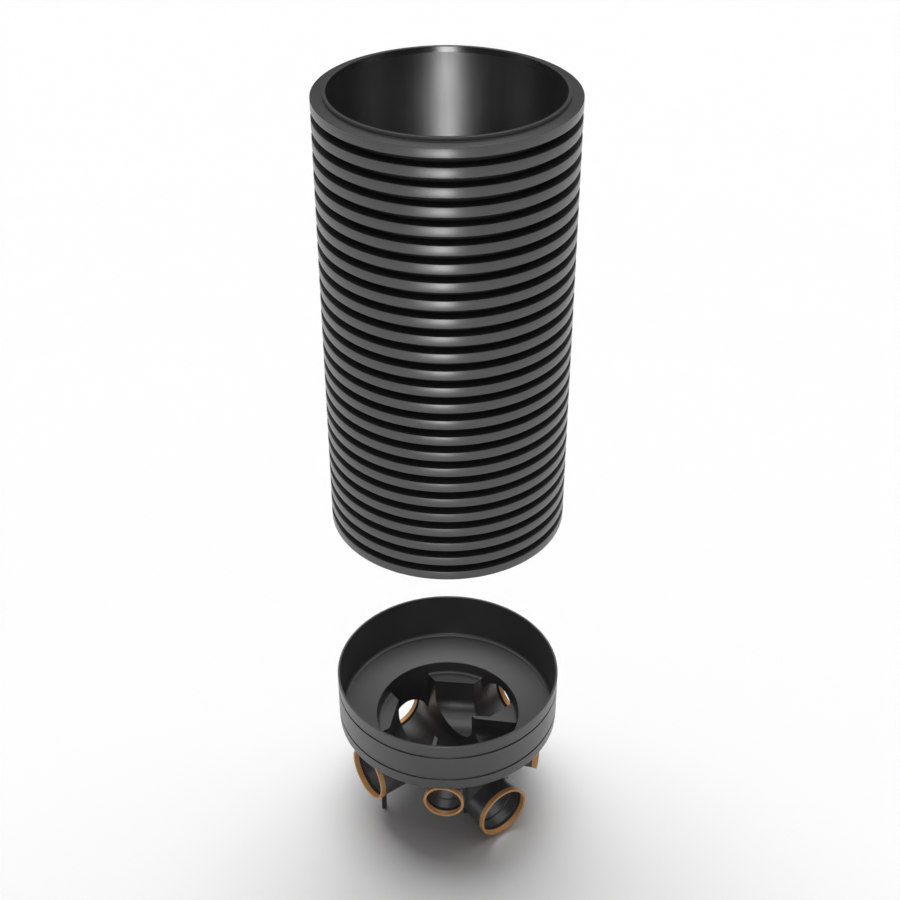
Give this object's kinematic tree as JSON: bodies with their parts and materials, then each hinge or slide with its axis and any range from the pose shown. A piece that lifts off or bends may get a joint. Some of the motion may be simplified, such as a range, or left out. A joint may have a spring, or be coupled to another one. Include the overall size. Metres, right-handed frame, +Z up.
{
  "type": "drain inspection chamber",
  "caption": "Plastic drain inspection chamber: benched base with gathering channels and ringed pipe sockets, and a corrugated riser shaft lifted above its collar.",
  "frame": {"origin": "on the ground under the chamber's own axis", "axes": "+Z up along the riser; the main channel runs from azimuth 36.6 degrees (counted from -Y towards +X) through the axis to the outlet opposite, 2.4 mm lower"},
  "size_m": [0.7039, 0.704, 2.432],
  "materials": {
    "riser": "satin black",
    "base": "satin black",
    "ring": "matte ochre",
    "seal": "dull black"
  },
  "bodies": {
    "root": {"riser_shaft": "riser", "chamber_base": "base", "ring_inlet_main": "ring", "seal_inlet_main": "seal", "ring_outlet": "ring", "seal_outlet": "seal", "ring_inlet_left": "ring", "seal_inlet_left": "seal", "ring_inlet_right": "ring", "seal_inlet_right": "seal", "ring_inlet_small_left": "ring", "seal_inlet_small_left": "seal", "ring_inlet_small_right": "ring", "seal_inlet_small_right": "seal"}
  },
  "joints": []
}
